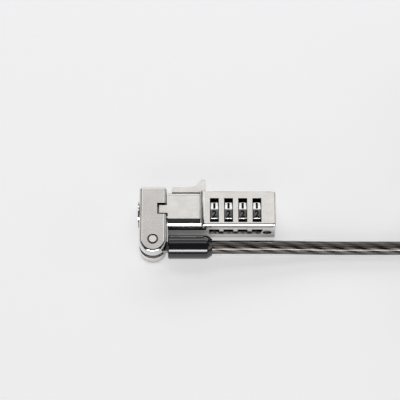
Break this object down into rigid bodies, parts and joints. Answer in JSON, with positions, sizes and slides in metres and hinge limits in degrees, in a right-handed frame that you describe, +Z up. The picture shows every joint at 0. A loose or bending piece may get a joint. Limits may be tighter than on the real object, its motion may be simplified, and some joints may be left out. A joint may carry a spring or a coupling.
{
  "type": "laptop cable lock",
  "caption": "Compact metal combination lock for a laptop, with number dials, a sprung thumb slide and a steel security cable on a swivelling fitting.",
  "frame": {"origin": "centre of the lock head's box, at the surface it lies on", "axes": "+X along the head from the nose to the end cap, +Y towards the thumb slide, +Z up"},
  "size_m": [0.223, 0.054, 0.0371],
  "materials": {
    "satin_nickel": "satin nickel plate on a zinc casting",
    "polished_nickel": "bright nickel plate",
    "dial_metal": "bright plated dials with dark filled digits",
    "steel": "plain steel",
    "brass": "turned brass",
    "gloss_black": "glossy moulded black",
    "cable_jacket": "smoke-tinted clear jacket over twisted steel strands",
    "strap": "woven hook and loop strap"
  },
  "bodies": {
    "housing": {"housing": "satin_nickel", "dial_cover": "satin_nickel", "end_cap": "polished_nickel", "nose_tube": "polished_nickel", "retaining_ring": "steel", "yoke": "satin_nickel", "hinge_pin": "polished_nickel", "return_spring": "steel", "locking_ball_1": "steel", "locking_ball_2": "steel", "locking_ball_3": "steel", "detent_leaf_1": "steel", "detent_leaf_2": "steel", "detent_leaf_3": "steel", "detent_leaf_4": "steel", "cover_screw_1": "steel", "cover_screw_2": "steel", "cover_screw_3": "steel"},
    "slide": {"thumb_slide": "satin_nickel", "slide_screw": "steel", "carriage": "steel", "spindle": "steel", "locking_sleeve": "brass"},
    "cable": {"cable_eye": "steel", "boot": "gloss_black", "cable": "cable_jacket", "cable_hank": "cable_jacket", "cable_tie_1": "strap", "cable_tie_2": "strap", "cable_tail": "cable_jacket", "loop_ferrule": "steel", "end_loop": "cable_jacket"},
    "reset": {"reset_screw": "steel"},
    "dial_1": {"dial_1": "dial_metal", "code_sleeve_1": "brass"},
    "dial_2": {"dial_2": "dial_metal", "code_sleeve_2": "brass"},
    "dial_3": {"dial_3": "dial_metal", "code_sleeve_3": "brass"},
    "dial_4": {"dial_4": "dial_metal", "code_sleeve_4": "brass"}
  },
  "joints": [
    {"name": "dial_1_turn", "type": "hinge", "parent": "housing", "child": "dial_1", "pos_m": [0.003, 0.00232, 0.00705], "axis": [1, 0, 0], "continuous": true},
    {"name": "dial_2_turn", "type": "hinge", "parent": "housing", "child": "dial_2", "pos_m": [0.00862, 0.00232, 0.00705], "axis": [1, 0, 0], "continuous": true},
    {"name": "dial_3_turn", "type": "hinge", "parent": "housing", "child": "dial_3", "pos_m": [0.01424, 0.00232, 0.00705], "axis": [1, 0, 0], "continuous": true},
    {"name": "dial_4_turn", "type": "hinge", "parent": "housing", "child": "dial_4", "pos_m": [0.01986, 0.00232, 0.00705], "axis": [1, 0, 0], "continuous": true},
    {"name": "thumb_slide_pull", "type": "slide", "parent": "housing", "child": "slide", "axis": [1, 0, 0], "range_m": [0, 0.004], "stiffness_N_per_m": 150, "springref_m": -0.002, "deforming": ["return_spring"]},
    {"name": "cable_swivel", "type": "hinge", "parent": "housing", "child": "cable", "pos_m": [-0.02135, -0.01027, 0.00705], "axis": [0, 0, -1], "range_deg": [0, 180]},
    {"name": "reset_turn", "type": "hinge", "parent": "housing", "child": "reset", "pos_m": [0.024, -0.00263, 0.0064], "axis": [0, 1, 0], "range_deg": [0, 90]}
  ]
}
